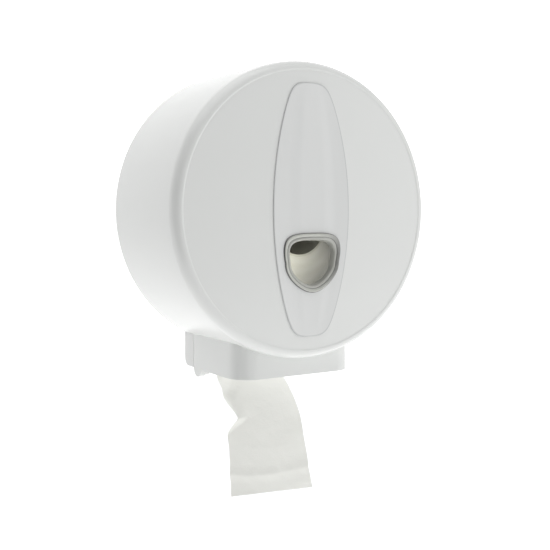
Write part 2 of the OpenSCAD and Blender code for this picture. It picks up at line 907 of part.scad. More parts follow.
module paper_tail() {
    side = [for (lift = [1, 0], i = [0:tail_rows], j = [0:tail_cols])
        let (s = i / tail_rows)
        tail_point(s, j / tail_cols) - tail_normal(s) * paper_t * lift];
    w = tail_cols + 1;
    b = (tail_rows + 1) * w;
    color("white")
    polyhedron(side, concat(
        [for (i = [0:tail_rows - 1], j = [0:tail_cols - 1])
            let (a = i * w + j)
            each [[a, a + 1, a + w], [a + 1, a + w + 1, a + w],
                  [b + a, b + a + w, b + a + 1], [b + a + 1, b + a + w, b + a + w + 1]]],
        [for (i = [0:tail_rows - 1])
            let (a = i * w, e = i * w + tail_cols)
            each [[a, a + w, b + a], [b + a, a + w, b + a + w],
                  [e, b + e, e + w], [b + e, b + e + w, e + w]]],
        [for (j = [0:tail_cols - 1])
            let (a = j, e = tail_rows * w + j)
            each [[a, b + a, a + 1], [a + 1, b + a, b + a + 1],
                  [e, e + 1, b + e], [e + 1, b + e + 1, b + e]]]));
}

back_plate();
spindle();
spindle_cap();
spindle_screws();
hinge_pins();
lock_keeper();
keeper_screws();
cover_shell();
centre_panel();
panel_clips();
window_frame();
window_pane();
tear_bar();
tear_bar_rivets();
lock_barrel();
lock_nut();
lock_plug();
lock_cam();
cam_screw();
roll_core();
paper_roll();
paper_tail();
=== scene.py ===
import json
import math
import bmesh
import bpy
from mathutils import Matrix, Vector, noise


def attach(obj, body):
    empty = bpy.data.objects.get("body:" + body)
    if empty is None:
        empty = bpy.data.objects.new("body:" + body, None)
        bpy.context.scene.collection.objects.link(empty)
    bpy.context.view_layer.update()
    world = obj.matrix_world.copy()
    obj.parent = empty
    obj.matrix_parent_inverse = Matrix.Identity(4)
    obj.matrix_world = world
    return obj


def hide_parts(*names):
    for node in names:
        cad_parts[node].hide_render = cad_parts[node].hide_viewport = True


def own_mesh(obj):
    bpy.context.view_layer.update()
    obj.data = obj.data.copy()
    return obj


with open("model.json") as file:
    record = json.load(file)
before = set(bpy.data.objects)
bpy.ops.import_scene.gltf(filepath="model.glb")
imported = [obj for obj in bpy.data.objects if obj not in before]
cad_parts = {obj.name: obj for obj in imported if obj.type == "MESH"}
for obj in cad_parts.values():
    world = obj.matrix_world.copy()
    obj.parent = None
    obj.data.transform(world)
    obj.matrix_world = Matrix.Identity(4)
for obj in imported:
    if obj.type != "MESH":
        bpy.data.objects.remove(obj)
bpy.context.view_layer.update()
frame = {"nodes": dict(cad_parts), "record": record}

# ---- Back plate ----
# The fixed half of the housing: a white ABS moulding with a rim, ribs and a hub, screwed to the
# wall. Its lower part carries the rear walls of the paper outlet and the ears of the hinge.


class Sock:
    """An output socket of a node tree. In an expression it adds Math nodes to its tree."""

    def __init__(self, tree, out):
        self.tree, self.out = tree, out

    def math(self, operation, other=None, other_first=False):
        ends = (other, self) if other_first else (self, other)
        ends = [end for end in ends if end is not None]
        return node(self.tree, "ShaderNodeMath", {"operation": operation}, ends)

    def __add__(self, other):
        return self.math("ADD", other)

    def __radd__(self, other):
        return self.math("ADD", other, True)

    def __sub__(self, other):
        return self.math("SUBTRACT", other)

    def __rsub__(self, other):
        return self.math("SUBTRACT", other, True)

    def __mul__(self, other):
        return self.math("MULTIPLY", other)

    def __rmul__(self, other):
        return self.math("MULTIPLY", other, True)

    def __truediv__(self, other):
        return self.math("DIVIDE", other)

    def __rtruediv__(self, other):
        return self.math("DIVIDE", other, True)

    def __pow__(self, other):
        return self.math("POWER", other)

    def __abs__(self):
        return self.math("ABSOLUTE")

    def clamped(self):
        return node(self.tree, "ShaderNodeClamp", {}, [self, 0.0, 1.0])


def node(tree, kind, settings, inputs, output=0):
    """Adds one node with its settings and inputs, given by place or by name, and returns an output."""
    made = tree.nodes.new(kind)
    for name, value in settings.items():
        setattr(made, name, value)
    for key, value in (inputs.items() if isinstance(inputs, dict) else enumerate(inputs)):
        if isinstance(value, Sock):
            tree.links.new(value.out, made.inputs[key])
        else:
            made.inputs[key].default_value = value
    return Sock(tree, made.outputs[output])


def principled(name, colour, roughness, **sockets):
    """A material with one Principled shader; numbers stay on its sockets."""
    made = bpy.data.materials.new(name)
    made.use_nodes = True
    shader = made.node_tree.nodes["Principled BSDF"]
    shader.inputs["Base Color"].default_value = (*colour, 1)
    shader.inputs["Roughness"].default_value = roughness
    for key, value in sockets.items():
        shader.inputs[key.replace("_", " ")].default_value = value
    return made, made.node_tree, shader


def own_place(tree):
    """The place on the object itself."""
    return node(tree, "ShaderNodeTexCoord", {}, [], "Object")


def object_noise(tree, scale, detail=3.0, stretch=(1, 1, 1)):
    """Noise from 0 to 1 over the object's own place, in features of about 1 / scale metres."""
    place = node(tree, "ShaderNodeMapping", {}, {"Vector": own_place(tree), "Scale": stretch})
    return node(tree, "ShaderNodeTexNoise", {}, {"Vector": place, "Scale": scale, "Detail": detail})


def blended(tree, share, first, second):
    """The colour at this share of the way between two colours, each three numbers or a socket."""
    first, second = [end if isinstance(end, Sock) else (*end, 1) for end in (first, second)]
    return node(tree, "ShaderNodeMix", {"data_type": "RGBA"}, {0: share, 6: first, 7: second}, 2)


def fed(tree, shader, name, value):
    """Joins a socket to the shader's input of this name."""
    tree.links.new(value.out, shader.inputs[name])


def bump(tree, shader, height, distance):
    """Roughens the shader's surface by a height socket, with this many metres for a height of 1."""
    fed(tree, shader, "Normal", node(tree, "ShaderNodeBump", {}, {"Height": height, "Distance": distance}))


def moulded_white(name, colour, roughness):
    """Glossy moulded ABS: faint flow marks, a fine orange peel and slightly uneven gloss."""
    mark_shade, gloss_spread, peel_scale, peel_h = 0.985, 0.06, 420.0, 0.00003
    made, tree, shader = principled(name, colour, roughness, IOR=1.53)
    flow = object_noise(tree, 9.0)
    fed(tree, shader, "Base Color", blended(tree, flow, [c * mark_shade for c in colour], colour))
    fed(tree, shader, "Roughness", flow * gloss_spread + (roughness - gloss_spread / 2))
    bump(tree, shader, object_noise(tree, peel_scale, 2.0), peel_h)
    return made


def stands_for(piece, cad_node):
    """The piece rides on the node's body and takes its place."""
    record = frame["record"]
    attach(piece, next(body for body, nodes in record["behaviour"]["bodies"].items() if cad_node in nodes))
    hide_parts(cad_node)
    return piece


def placed(name, mesh, material):
    """A new object at the origin with this mesh and material."""
    mesh.materials.clear()
    mesh.materials.append(material)
    piece = bpy.data.objects.new(name, mesh)
    bpy.context.scene.collection.objects.link(piece)
    return piece


def shaded(mesh, work, angle):
    """Writes the bmesh back, smooth except over edges sharper than the angle in degrees."""
    for face in work.faces:
        face.smooth = True
    for edge in work.edges:
        edge.smooth = len(edge.link_faces) == 2 and edge.calc_face_angle(0) < math.radians(angle)
    work.to_mesh(mesh)
    work.free()
    return mesh


def dressed(cad_node, piece_name, material, angle=32.0, bevel=0.0):
    """A smooth-shaded copy of a CAD node, which it stands for, with its edges rounded if a bevel is given.
    """
    mesh = frame["nodes"][cad_node].data.copy()
    work = bmesh.new()
    work.from_mesh(mesh)
    bmesh.ops.remove_doubles(work, verts=work.verts, dist=2e-6)
    piece = placed(piece_name, shaded(mesh, work, angle), material)
    if bevel:
        edge = piece.modifiers.new("rounded edges", "BEVEL")
        edge.width = bevel
        edge.segments = 2
        edge.limit_method = "ANGLE"
        edge.angle_limit = math.radians(40)
        edge.use_clamp_overlap = True
    return stands_for(piece, cad_node)


base_white = moulded_white("base white ABS", (0.79, 0.795, 0.785), 0.32)
dressed("back_plate", "plate_moulding", base_white)

# ---- Spindle ----
# A white tube with a flange, moulded in ABS and held on the plate's hub by four screws. The roll's
# core is much wider than the tube and hangs on its top side.

spindle_white = moulded_white("spindle ABS", (0.70, 0.70, 0.69), 0.40)
dressed("spindle", "spindle_tube", spindle_white, bevel=0.0003)

# ---- Spindle screws ----
# Four zinc-plated pan-head screws with a cross recess hold the spindle's flange on the hub. Each
# was driven home by hand, so the recesses point in different directions.


def plated(name, colour, roughness, grain=(1, 1, 1)):
    """Plated or brushed steel: cloudy gloss and a fine grain, drawn out where it is brushed."""
    cloud_spread, grain_scale, grain_h = 0.22, 900.0, 0.00003
    made, tree, shader = principled(name, colour, roughness, Metallic=1.0)
    cloud = object_noise(tree, 160.0, 4.0)
    fed(tree, shader, "Roughness", cloud * cloud_spread + (roughness - cloud_spread / 2))
    bump(tree, shader, object_noise(tree, grain_scale, 2.0, grain), grain_h)
    return made


def group(name, inputs):
    """A Geometry Nodes group with a geometry input and output and these other inputs."""
    tree = bpy.data.node_groups.new(name, "GeometryNodeTree")
    tree.interface.new_socket("Geometry", in_out="INPUT", socket_type="NodeSocketGeometry")
    tree.interface.new_socket("Geometry", in_out="OUTPUT", socket_type="NodeSocketGeometry")
    for label, kind in inputs.items():
        tree.interface.new_socket(label, in_out="INPUT", socket_type="NodeSocket" + kind)
    start = tree.nodes.new("NodeGroupInput")
    return tree, {out.name: Sock(tree, out) for out in start.outputs if out.name}


def ended(tree, geometry, material):
    """Ends a group: instances are realised and the material is set."""
    geometry = node(tree, "GeometryNodeRealizeInstances", {}, {"Geometry": geometry})
    geometry = node(tree, "GeometryNodeSetMaterial", {}, {"Geometry": geometry, "Material": material})
    tree.links.new(geometry.out, tree.nodes.new("NodeGroupOutput").inputs[0])


def settled(piece):
    """Turns the piece with its modifiers into a plain mesh."""
    depsgraph = bpy.context.evaluated_depsgraph_get()
    mesh = bpy.data.meshes.new_from_object(piece.evaluated_get(depsgraph))
    piece.modifiers.clear()
    piece.data = mesh
    return piece


def grown(name, tree, start, material, values):
    """The plain mesh that a group makes from a start mesh with these input values."""
    piece = placed(name, start, material)
    modifier = piece.modifiers.new(tree.name, "NODES")
    modifier.node_group = tree
    sockets = {item.name: item.identifier for item in tree.interface.items_tree if item.in_out == "INPUT"}
    for label, value in values.items():
        modifier[sockets[label]] = value
    return settled(piece)


def row_mesh(name, rows, closed_rows=True, closed_ring=False, ends=False):
    """A grid mesh through rows of points, closed round each row and, if asked, from last to first."""
    work = bmesh.new()
    grid = [[work.verts.new(p) for p in row] for row in rows]
    count, width = len(grid), len(grid[0])
    for j in range(count if closed_ring else count - 1):
        for i in range(width if closed_rows else width - 1):
            here, there = grid[j], grid[(j + 1) % count]
            k = (i + 1) % width
            work.faces.new((here[i], here[k], there[k], there[i]))
    if ends:
        work.faces.new(list(reversed(grid[0])))
        work.faces.new(grid[-1])
    bmesh.ops.recalc_face_normals(work, faces=work.faces)
    return shaded(bpy.data.meshes.new(name), work, 35)


def screw_blank(shank_r, shank_l, head_r, head_h):
    """A pan-head screw with a thread and a cross recess, its seat at the origin, pointing down Z."""
    slot_half, slot_end, slot_flank = head_r / 8, 0.6 * head_r, 0.42
    recess_floor, recess_taper, point_share, root_share = 0.45, 0.8, 0.2, 0.78
    head_outline = ((0.97, 0), (1, 0.08), (1, 0.5), (0.93, 0.8), (0.8, 0.95), (0.72, 1))
    corner = math.atan(slot_half / slot_end)
    quarter = math.pi / 2
    angles = [q * quarter + a for q in range(4)
              for a in (-corner, 0, corner, slot_flank, quarter / 2, quarter - slot_flank)]

    def ring(r, z):
        return [(r * math.cos(a), r * math.sin(a), z) for a in angles]

    def cross(z, share=1.0):
        """The recess at one height: along an arm to its end, and between two arms to their flanks."""
        row = []
        for a in angles:
            low, high = sorted((abs(math.cos(a)), abs(math.sin(a))))
            past_corner = low > high * math.tan(corner) * 1.01
            r = min(slot_end / high, slot_half / low) if past_corner else slot_end / high
            row.append((share * r * math.cos(a), share * r * math.sin(a), z))
        return row

    pitch = 0.5 * shank_r
    turns = int((shank_l - shank_r) / pitch)
    rows = [ring(point_share * shank_r, -shank_l)]
    for k in range(turns):
        z = -shank_l + shank_r + k * pitch
        rows += [ring(root_share * shank_r, z), ring(shank_r, z + 0.5 * pitch)]
    rows.append(ring(shank_r, 0))
    for wide, high in head_outline:
        rows.append(ring(wide * head_r, high * head_h))
    rows += [cross(head_h), cross(recess_floor * head_h, recess_taper)]
    return row_mesh("screw_blank", rows, ends=True)


def fixed_at(name, blank, places, turn, seed, material, cad_node):
    """Copies of a blank at these places, each turned about its own axis by chance."""
    start = bpy.data.meshes.new(name)
    start.from_pydata(places, [], [])
    pattern = placed(name + "_blank", blank, material)
    piece = grown(name, fixings, start, material,
                  {"Pattern": pattern, "Turn": turn, "Seed": seed})
    bpy.data.objects.remove(pattern)
    return stands_for(piece, cad_node)


zinc = plated("zinc plate", (0.62, 0.63, 0.65), 0.34)
fixings, given = group("fixings", {"Pattern": "Object", "Turn": "Vector", "Seed": "Int"})
pattern_mesh = node(fixings, "GeometryNodeObjectInfo", {}, {"Object": given["Pattern"]}, "Geometry")
spread = node(fixings, "GeometryNodeInstanceOnPoints", {},
              {"Points": given["Geometry"], "Instance": pattern_mesh, "Rotation": given["Turn"]})
chance = node(fixings, "FunctionNodeRandomValue", {"data_type": "FLOAT"},
              {2: 0.0, 3: 2 * math.pi, "Seed": given["Seed"]}, 1)
chance = node(fixings, "ShaderNodeCombineXYZ", {}, {"Z": chance})
spread = node(fixings, "GeometryNodeRotateInstances", {},
              {"Instances": spread, "Rotation": chance, "Local Space": True})
ended(fixings, spread, zinc)

facing_front = (math.pi / 2, 0, 0)
screw_ring, spindle_seat = 0.028, 0.0293
ring_angles = [math.radians(a) for a in (45, 135, 225, 315)]
fixed_at("spindle_screw_set", screw_blank(0.0019, 0.007, 0.0035, 0.0014),
         [(screw_ring * math.cos(a), -spindle_seat, screw_ring * math.sin(a)) for a in ring_angles],
         facing_front, 3, zinc, "spindle_screws")

# ---- Spindle cap ----
# A bevelled disc on a stub that is pressed into the spindle's end. It is wider than the spindle,
# so that the roll can't walk off forwards.

dressed("spindle_cap", "spindle_end_cap", spindle_white, bevel=0.0003)

# ---- Hinge pins ----
# Two headed steel pins join the ears of the back plate to the knuckles of the cover. The cover
# swings forward and down on them.

dressed("hinge_pins", "hinge_pin_pair", zinc, bevel=0.0002)

# ---- Lock keeper ----
# A bent strip of plated steel on top of the back plate. The lock's tongue turns behind its lip
# and holds the cover shut.

dressed("lock_keeper", "keeper_strip", zinc, bevel=0.0003)

# ---- Keeper screws ----
# Two small pan-head screws, one above the other, go through the keeper's foot into the back
# plate.

keeper_screw_x, keeper_front, keeper_screw_z = 0.028, 0.005, (0.12976, 0.13576)
fixed_at("keeper_screw_pair", screw_blank(0.0016, 0.0047, 0.0028, 0.0018),
         [(keeper_screw_x, -keeper_front, z) for z in keeper_screw_z],
         facing_front, 8, zinc, "keeper_screws")

# ---- Roll core ----
# A tube of wound grey board, 60 mm inside, with the spiral seam of its outer ply. It hangs on the
# spindle's top side, so its axis lies below the drum's.

board, tree, shader = principled("wound board", (0.60, 0.59, 0.53), 0.85)
seam = node(tree, "ShaderNodeTexWave", {"bands_direction": "DIAGONAL"},
            {"Vector": own_place(tree), "Scale": 14.0, "Distortion": 0.4})
bump(tree, shader, object_noise(tree, 300.0, 4.0) + 0.3 * seam, 0.0002)
dressed("roll_core", "board_core", board)

# ---- Paper roll ----
# Soft white tissue, wound on the core. The layers' edges make fine rings on its flat sides, which
# are not quite flat, and its outer edges are a little rounded.

roll_r, roll_bore_r, roll_rear, roll_front, roll_z = 0.12, 0.032, 0.031, 0.126, -0.0177
side_steps, edge_soft, edge_half, edge_fine = 36, 0.002, 0.0008, 0.0004
side_inset, side_wander, wander_scale = 0.0015, 0.00035, 90
side_end_r = roll_r - side_inset
side_radii = [roll_bore_r + (side_end_r - roll_bore_r) * k / side_steps for k in range(side_steps + 1)]
wander = [side_wander * noise.noise(Vector((r * wander_scale, 0.7, 0))) for r in side_radii]
roll_outline = [(r, roll_front - edge_fine + w) for r, w in zip(side_radii, wander)]
roll_outline += [(roll_r - edge_fine, roll_front - edge_half), (roll_r, roll_front - edge_soft),
                 (roll_r, roll_rear + edge_soft), (roll_r - edge_fine, roll_rear + edge_half)]
roll_outline += [(r, roll_rear + edge_fine - w) for r, w in reversed(list(zip(side_radii, wander)))]
turn_steps = [math.radians(a * 2) for a in range(180)]
wound = row_mesh("wound_roll", [[(r * math.cos(a), -out, roll_z + r * math.sin(a)) for a in turn_steps]
                                for r, out in roll_outline], closed_ring=True)
tissue, tree, shader = principled("wound tissue", (0.85, 0.84, 0.79), 0.9)
about_roll = node(tree, "ShaderNodeMapping", {}, {"Vector": own_place(tree), "Location": (0, 0, -roll_z)})
layers = node(tree, "ShaderNodeTexWave", {"wave_type": "RINGS", "rings_direction": "Y"},
              {"Vector": about_roll, "Scale": 420.0, "Distortion": 1.5, "Detail": 2.0, "Detail Scale": 0.3})
bands = node(tree, "ShaderNodeTexWave", {"wave_type": "RINGS", "rings_direction": "Y"},
             {"Vector": about_roll, "Scale": 31.0, "Distortion": 4.0, "Detail": 3.0, "Detail Scale": 0.4})
tint = blended(tree, 0.6 * layers + 0.4 * bands, (0.78, 0.765, 0.70), (0.87, 0.865, 0.83))
fed(tree, shader, "Base Color", tint)
bump(tree, shader, layers + 0.5 * object_noise(tree, 500.0, 4.0), 0.00025)
stands_for(placed("wound_roll", wound, tissue), "paper_roll")

# ---- Hanging paper ----
# The loose end of the roll: thin soft tissue, 95 mm wide. It leaves the roll's left side, bends
# through the outlet and hangs free, with a pleat at its rear edge and a crease above its end.

paper_w, free_l, paper_t, collar_drop = 0.095, 0.248, 0.00025, 0.175
leave_r = roll_r + 0.0008


def leave(angle, y):
    """A place on the roll's outside, where the sheet leaves it."""
    a = math.radians(angle)
    return Vector((leave_r * math.cos(a), y, roll_z + leave_r * math.sin(a)))


def below(x, y, up):
    """A place at this height above the collar's lower edge."""
    return Vector((x, y, up - collar_drop))


def along(p, s):
    """Smooth curve through the places p, at s from 0 to 1."""
    last = len(p) - 1
    k = min(last - 1, int(s * last))
    f = s * last - k
    a, b, c, d = p[max(0, k - 1)], p[k], p[k + 1], p[min(last, k + 2)]
    return b + f / 2 * (c - a + f * (2 * a - 5 * b + 4 * c - d + f * (3 * b - a - 3 * c + d)))


def eased(distance, width):
    """A soft bump: 1 in its middle and 0 from the width on."""
    v = max(0.0, 1 - abs(distance) / width)
    return v * v * (3 - 2 * v)


def crisp(distance, width):
    """A sharp fold with a narrow round top, 0 from the width on."""
    return max(0.0, 1 - math.hypot(distance, fold_round) / width)


rear_y, front_y = -0.0313, -0.1257
rear_places = [leave(-146, rear_y), below(-0.071, rear_y, 0.048), below(-0.053, rear_y - 0.0017, 0.003),
               below(-0.042, rear_y - 0.0042, -0.045), below(-0.0375, rear_y - 0.0087, -0.093),
               below(-0.038, rear_y - 0.0137, -0.142)]
front_places = [leave(-137, front_y), below(-0.052, front_y + 0.0041, 0.0385),
                below(-0.0175, front_y + 0.0065, 0.0015), below(0.0035, front_y + 0.0072, -0.038),
                below(0.013, front_y + 0.0077, -0.08), below(0.0215, front_y + 0.0077, -0.123)]
# The pleat's notch in the rear edge, and the ridge above it that ends in a tooth
fold_round, fold_reach = 0.008, 0.46
notch_s, notch_slope, notch_w, notch_in, notch_pull = 0.64, 0.42, 0.085, 0.007, 0.022
ridge_above, ridge_w, ridge_out, tooth_w, tooth_pull = 0.075, 0.09, 0.007, 0.05, 0.003
# The belly across the sheet, the crease above its end and the flutter of its free part
belly_s, belly_half, belly_in = 0.68, 0.32, 0.004
crease_s, crease_wave, crease_half, crease_in = 0.89, 0.012, 0.04, 0.0016
flutter_s, slow_flutter, fast_flutter = 0.65, 0.0011, 0.0005
# Half the stretch, as a share, over which the sheet's run is measured
half_stretch = 0.02


def paper_point(s, t):
    """The sheet's place at s from the roll to the free edge and at t from the rear to the front edge."""
    across = along(front_places, s) - along(rear_places, s)
    ahead, back = min(1, s + half_stretch), max(0, s - half_stretch)
    run = sum((along(p, ahead) - along(p, back) for p in (rear_places, front_places)), Vector())
    normal = across.cross(run).normalized()
    fade = max(0.0, 1 - t / fold_reach)
    from_notch = s - notch_s + notch_slope * t
    fold = fade * ridge_out * crisp(from_notch + ridge_above * fade, ridge_w)
    fold -= fade * notch_in * crisp(from_notch, notch_w)
    fold -= belly_in * math.sin(math.pi * t) * eased(s - belly_s, belly_half)
    fold -= crease_in * max(0.0, 1 - abs(s - crease_s - crease_wave * math.sin(4 * t)) / crease_half) ** 1.6
    free = eased(s - 1.0, flutter_s)
    fold += free * slow_flutter * noise.noise(Vector((s * 9, t * 3.2, 2.0)))
    fold += free * fast_flutter * noise.noise(Vector((s * 26, t * 9, 5.0)))
    pull = notch_pull * crisp(s - notch_s, notch_w) ** 1.3
    pull -= tooth_pull * crisp(s - notch_s + ridge_above, tooth_w)
    return along(rear_places, s) + across * t + across.normalized() * pull * (1 - t) ** 2 + normal * fold


sheet_rows, sheet_columns = 130, 46
sheet_points = [[paper_point(j / sheet_rows, i / sheet_columns) for i in range(sheet_columns + 1)]
                for j in range(sheet_rows + 1)]
hanging = row_mesh("loose_sheet", sheet_points, closed_rows=False)
# The faint emission is a painted glow for light shining through the thin tissue.
loose, tree, shader = principled("loose tissue", (0.95, 0.955, 0.91), 0.92,
                                 Emission_Color=(1, 1, 0.95, 1), Emission_Strength=0.035)
weave = object_noise(tree, 1400.0, 2.0, (1, 1, 0.5))
bump(tree, shader, weave + 2.5 * object_noise(tree, 120.0, 3.0), 0.00022)
loose_sheet = stands_for(placed("loose_sheet", hanging, loose), "paper_tail")
ply = loose_sheet.modifiers.new("paper thickness", "SOLIDIFY")
ply.thickness = paper_t
ply.offset = 0
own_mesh(loose_sheet)

# ---- Cover ----
# The drum and the collar of the outlet are one glossy white moulding. A rounded shoulder ends in a
# shallow valley round the slightly domed face, which has an oval opening behind the centre panel.

drum_r, face_r, rim_out = 0.155, 0.146, 0.146
shoulder_w, shoulder_l, valley_d, dome_h = 0.009, 0.013, 0.0007, 0.004
# How near the corners of a face have to lie to the drum's wall, the shoulder's arc or the dome
hair, wall_near, arc_near, dome_near, dome_margin = 1e-5, 2e-4, 0.02, 1e-4, 1e-3


def cover_normal(corners):
    """The true normals of a face of the drum's outside at its corners, or None for another face."""
    places = [(math.hypot(c.x, c.z), -c.y) for c in corners]
    arc_out = rim_out - shoulder_l
    if all(abs(r - drum_r) < wall_near and out < arc_out + hair for r, out in places):
        slopes = [(1, 0)] * len(places)
    elif all(r > face_r - hair and out > arc_out - hair
             and abs(((r - face_r) / shoulder_w) ** 2 + ((out - arc_out) / shoulder_l) ** 2 - 1) < arc_near
             for r, out in places):
        slopes = [((r - face_r) / shoulder_w ** 2, (out - arc_out) / shoulder_l ** 2) for r, out in places]
    elif all(r < face_r - dome_margin and abs(out - dome_out(r)) < dome_near for r, out in places):
        slopes = [(2 * dome_h * r / face_r ** 2, 1) for r, out in places]
    else:
        return None
    return [Vector((s * c.x / r, -o, s * c.z / r)).normalized()
            for c, (r, out), (s, o) in zip(corners, places, slopes)]


def dome_out(r):
    """Distance of the face from the wall at this radius."""
    return rim_out - valley_d + dome_h * (1 - (r / face_r) ** 2)


cover_white = moulded_white("cover white ABS", (0.80, 0.812, 0.798), 0.2)
drum_cover = dressed("cover_shell", "drum_cover", cover_white, angle=28)
mesh = drum_cover.data
loop_normals = [(0, 0, 0)] * len(mesh.loops)
for polygon in mesh.polygons:
    true = cover_normal([mesh.vertices[v].co for v in polygon.vertices])
    if true and polygon.normal.dot(true[0]) > 0.8:
        for loop, normal in zip(polygon.loop_indices, true):
            loop_normals[loop] = normal
mesh.normals_split_custom_set(loop_normals)

# ---- Centre panel ----
# A thin oval moulding whose border stands a little above the face. Its middle rises in a soft
# ridge. Ten pegs behind the border go through the cover.

panel_half_w, panel_half_h, panel_edge, panel_t = 0.0465, 0.1315, 0.001, 0.0008
tip_blunt, ridge_h, end_power, crown_share, ridge_share, ridge_dish = 0.4, 0.0022, 1.2, 0.4, 0.6, 0.15
flank_end, flank_w = 0.64, 0.36
window_half_w, window_half_h, window_drop = 0.035, 0.031, 0.055
middle_share, top_flare, bottom_taper = 0.95, 0.2, 0.2


def oval_point(angle, inset):
    """A place on the panel's outline, or this far inside it."""
    c, s = math.cos(angle), math.sin(angle)
    across = math.copysign(abs(c) ** (1 - tip_blunt * s ** 4), c)
    return (panel_half_w - inset) * across, (panel_half_h - inset) * s


def drop_point(angle, inset):
    """A place on the window's outline: a flat, flared top over a rounded, tapered lower half."""
    c, s = math.cos(angle), math.sin(angle)
    power = 0.6 if s > 0 else 1.0
    up = math.copysign(abs(s) ** power, s)
    side = math.copysign(abs(c) ** power, c)
    width = middle_share + (top_flare * (up - up ** 2 + up ** 3) if up > 0 else -bottom_taper * up ** 2)
    return (window_half_w - inset) * side * width, (window_half_h - inset) * up - window_drop


def clamped(value):
    """A number or a socket, kept from 0 to 1."""
    return value.clamped() if isinstance(value, Sock) else min(1.0, max(0.0, value))


def oval_place(x, z, half_w, half_h):
    """Where a place lies in the oval: up it, the swell of the oval there, and across it, as shares."""
    up = clamped(abs(z / half_h))
    swell = (1 - up * up) ** 0.5
    return up, swell, clamped(abs(x) / (half_w * swell ** (1 - tip_blunt * up ** 4) + 1e-6))


def panel_rise(x, z, half_w, half_h):
    """Height of the panel's front over its edge, as a share of the ridge, for numbers or sockets."""
    up, swell, across = oval_place(x, z, half_w, half_h)
    flank = clamped((flank_end - across) / flank_w)
    ridge = flank * flank * (3 - 2 * flank)
    return swell ** end_power * (crown_share * (1 - across * across)
                                 + ridge_share * ridge * (1 - ridge_dish * across * across))


def place_along(tree, axis):
    """The place on the object itself, along X, Y or Z."""
    return node(tree, "ShaderNodeSeparateXYZ", {}, [own_place(tree)], axis)


# Painted shade: the colour gets a little greyer to the right and downwards, and a thin painted
# shadow line marks the gap at the panel's edge.
left_white, painted_shade_white, gap_shadow_grey = (0.785, 0.795, 0.788), (0.715, 0.725, 0.718), (0.56, 0.57, 0.57)
tip_shadow_w, side_shadow_w, gap_shadow_blur = 0.014, 0.034, 1.3
middle_grey, side_grey, rise_grey = 0.35, 0.9, 0.3
panel_white = moulded_white("panel white ABS", left_white, 0.2)
tree = panel_white.node_tree
x, z = place_along(tree, "X"), place_along(tree, "Z")
up, swell, across = oval_place(x, z, panel_half_w, panel_half_h)
to_edge = (1 - up * up) * (1 - across * across)
# A thin painted shadow line along the gap at the panel's edge.
seam = (gap_shadow_blur - to_edge / (tip_shadow_w + side_shadow_w * (1 - up * up))).clamped()
painted_panel_shade = (middle_grey + side_grey * x / panel_half_w - rise_grey * z / panel_half_h).clamped()
fed(tree, tree.nodes["Principled BSDF"], "Base Color",
    blended(tree, seam, blended(tree, painted_panel_shade, left_white, painted_shade_white), gap_shadow_grey))

panel_inputs = {"Half Width": panel_half_w, "Half Height": panel_half_h, "Face Radius": face_r,
                "Edge Out": rim_out - valley_d + panel_edge, "Dome": dome_h, "Ridge": ridge_h}
surface, given = group("panel surface", dict.fromkeys(panel_inputs, "Float"))
place = node(surface, "GeometryNodeInputPosition", {}, [])
x = node(surface, "ShaderNodeSeparateXYZ", {}, [place], "X")
z = node(surface, "ShaderNodeSeparateXYZ", {}, [place], "Z")
dome = 1 - (x * x + z * z) / given["Face Radius"] ** 2
rise = panel_rise(x, z, given["Half Width"], given["Half Height"])
out = given["Edge Out"] + given["Dome"] * dome + given["Ridge"] * rise
raised = node(surface, "ShaderNodeCombineXYZ", {}, [x, -1 * out, z])
raised = node(surface, "GeometryNodeSetPosition", {}, {"Geometry": given["Geometry"], "Position": raised})
ended(surface, raised, panel_white)

hole_inset, ray_count, ring_count, ring_crowding = 0.0045, 180, 26, 1.4
ray_angles = [2 * math.pi * k / ray_count for k in range(ray_count)]
rays = [(drop_point(a, hole_inset), oval_point(a, 0)) for a in ray_angles]
flat_rows = []
for k in range(ring_count + 1):
    q = 1 - (1 - k / ring_count) ** ring_crowding
    flat_rows.append([(h[0] + q * (o[0] - h[0]), 0, h[1] + q * (o[1] - h[1])) for h, o in rays])
flat_panel = row_mesh("oval_panel", flat_rows)
if flat_panel.polygons[0].normal.y > 0:
    flat_panel.flip_normals()
oval_panel = grown("oval_panel", surface, flat_panel, panel_white, panel_inputs)
wall = oval_panel.modifiers.new("wall", "SOLIDIFY")
wall.thickness = panel_t
wall.offset = -1
settled(oval_panel)

# Pegs with a chamfered end, closed by a fan of triangles and sunk into the back of the panel
peg_angles = [math.radians(a) for a in (18, 60, 90, 120, 162, 198, 240, 270, 300, 342)]
peg_r, peg_l, peg_chamfer, peg_root, peg_sides, seat_w = 0.002, 0.006, 0.0006, 0.0005, 24, 0.008
peg_turns = [2 * math.pi * k / peg_sides for k in range(peg_sides)]
peg_places = [oval_point(a, seat_w / 2) for a in peg_angles]
work = bmesh.new()
work.from_mesh(oval_panel.data)
for x, z in peg_places:
    seat = dome_out(math.hypot(x, z))
    tip = work.verts.new((x, peg_l - seat, z))
    rings = []
    for r, up in ((0.75 * peg_r, 0), (peg_r, peg_chamfer), (peg_r, peg_l + peg_root)):
        y = peg_l - seat - up
        rings.append([work.verts.new((x + r * math.cos(a), y, z + r * math.sin(a))) for a in peg_turns])
    for k in range(peg_sides):
        n = (k + 1) % peg_sides
        work.faces.new((tip, rings[0][n], rings[0][k]))
        for low, high in zip(rings, rings[1:]):
            work.faces.new((low[k], low[n], high[n], high[k]))
bmesh.ops.recalc_face_normals(work, faces=work.faces)
shaded(oval_panel.data, work, 50)
edge = oval_panel.modifiers.new("rounded edges", "BEVEL")
edge.width = 0.0003
edge.segments = 3
edge.limit_method = "ANGLE"
edge.angle_limit = math.radians(60)
stands_for(oval_panel, "centre_panel")

# ---- Panel clips ----
# Ten spring-steel push-on clips hold the pegs behind the face. Each is a dished washer whose inner
# edge is slit into tongues.

clip_r, clip_t, clip_steps, tongue_steps, slit_share = 0.005, 0.0006, 36, 6, 0.62
